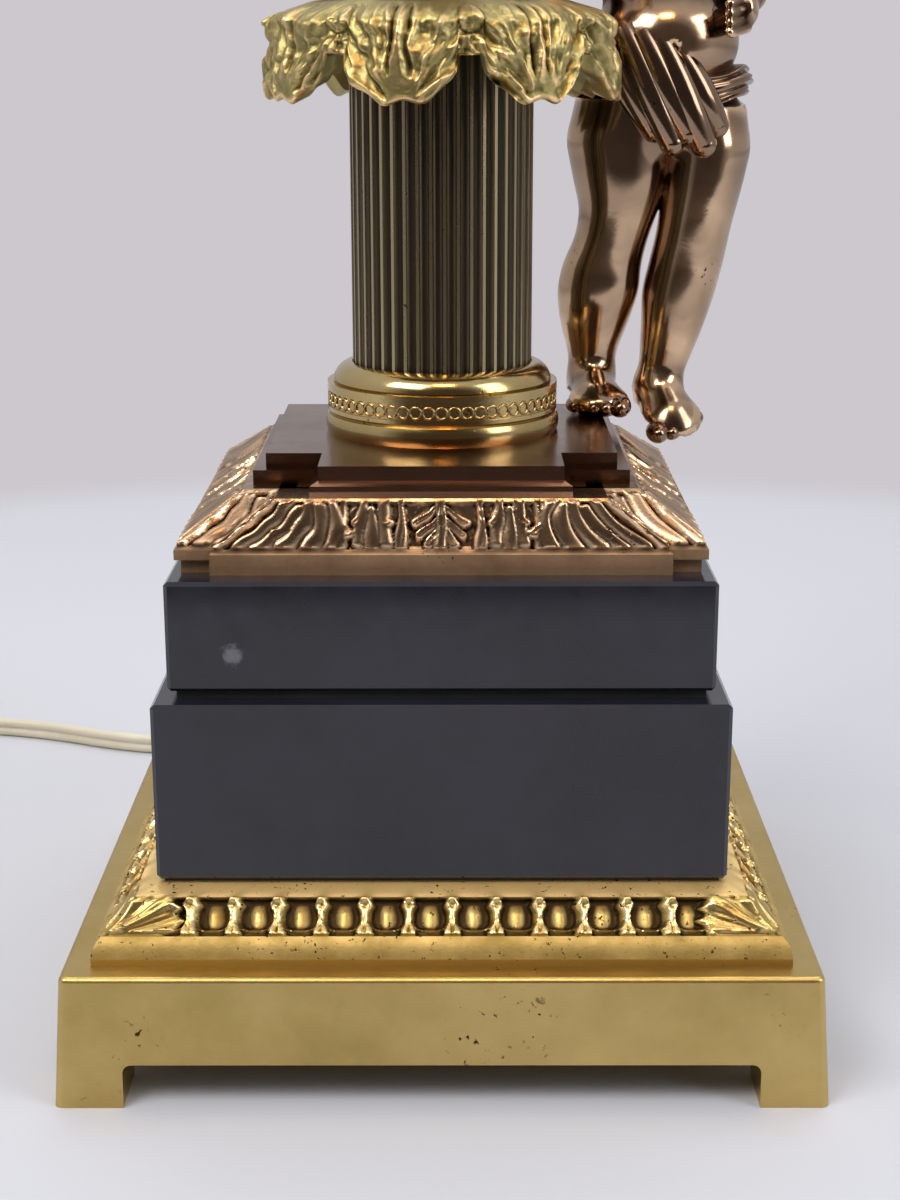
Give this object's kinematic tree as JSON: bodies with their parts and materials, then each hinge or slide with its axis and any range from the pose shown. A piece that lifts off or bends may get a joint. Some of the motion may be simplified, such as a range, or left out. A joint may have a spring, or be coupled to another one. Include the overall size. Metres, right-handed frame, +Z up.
{
  "type": "figural table lamp",
  "caption": "Figural table lamp: a bronze putto beside a fluted brass column on a stepped pedestal of black marble and cast brass, with a socket, a harp and a finial.",
  "frame": {"origin": "centre of the base, on the surface the lamp stands on", "axes": "+Z up along the rod, -Y out of the front, +X to the viewer's right"},
  "size_m": [0.3727, 0.362, 0.632],
  "materials": {
    "plinth_brass": "satin cast brass with fine pits",
    "gilded_brass": "gilded cast brass, dark in the recesses",
    "dark_gasket": "matt black sheet",
    "black_marble": "satin black marble",
    "antique_bronze": "dark antique bronze with burnished high points",
    "brown_bronze": "brown bronze, satin",
    "polished_brass": "polished brass",
    "olive_brass": "dull olive brass",
    "steel_hardware": "zinc plated steel",
    "gilt_capital": "greenish gilt with orange high points",
    "polished_bronze": "highly polished dark bronze",
    "harp_brass": "brass plated steel wire",
    "socket_brass": "bright spun brass",
    "fibre_liner": "brown insulating fibre",
    "black_plastic": "moulded black plastic",
    "screw_shell_metal": "bright aluminium",
    "cream_cord": "cream vinyl flex",
    "cream_plastic": "cream moulded vinyl"
  },
  "bodies": {
    "lamp_body": {"brass_plinth": "plinth_brass", "leaf_moulding": "gilded_brass", "moulding_gasket": "dark_gasket", "lower_marble_block": "black_marble", "marble_spacer": "dark_gasket", "upper_marble_block": "black_marble", "acanthus_mount": "antique_bronze", "stepped_slab": "brown_bronze", "column_foot_ring": "polished_brass", "fluted_column": "olive_brass", "column_centring_discs": "steel_hardware", "leaf_capital": "gilt_capital", "stem_foot": "antique_bronze", "stem_vase": "polished_bronze", "vase_collar": "polished_brass", "stem_tube": "polished_brass", "check_ring": "polished_brass", "threaded_rod": "steel_hardware", "rod_washer": "steel_hardware", "rod_lock_washer": "steel_hardware", "rod_nut": "steel_hardware", "harp_saddle": "harp_brass", "socket_cap": "socket_brass", "socket_shell": "socket_brass", "socket_liner": "fibre_liner", "socket_insulator": "black_plastic", "terminal_screws": "socket_brass", "screw_shell": "screw_shell_metal", "centre_contact": "socket_brass", "putto": "polished_bronze", "putto_screw": "steel_hardware", "inner_cord": "cream_cord", "strain_relief": "cream_plastic", "cord_run": "cream_cord", "cord_coil": "cream_cord", "cord_tail": "cream_cord", "plug_body": "cream_plastic", "plug_blades": "socket_brass", "harp": "harp_brass"},
    "finial_nut": {"finial": "polished_brass"},
    "left_ferrule_sleeve": {"left_ferrule": "harp_brass"},
    "right_ferrule_sleeve": {"right_ferrule": "harp_brass"},
    "switch": {"switch_shaft": "steel_hardware", "switch_knob": "black_plastic"}
  },
  "joints": [
    {"name": "switch_turn", "type": "hinge", "parent": "lamp_body", "child": "switch", "pos_m": [0, -0.02, 0.4036], "axis": [0, -1, 0], "continuous": true},
    {"name": "finial_turn", "type": "hinge", "parent": "lamp_body", "child": "finial_nut", "pos_m": [0, 0, 0.602], "axis": [0, 0, 1], "continuous": true},
    {"name": "left_ferrule_lift", "type": "slide", "parent": "lamp_body", "child": "left_ferrule_sleeve", "axis": [0, 0, 1], "range_m": [0, 0.012]},
    {"name": "right_ferrule_lift", "type": "slide", "parent": "lamp_body", "child": "right_ferrule_sleeve", "axis": [0, 0, 1], "range_m": [0, 0.012]}
  ]
}
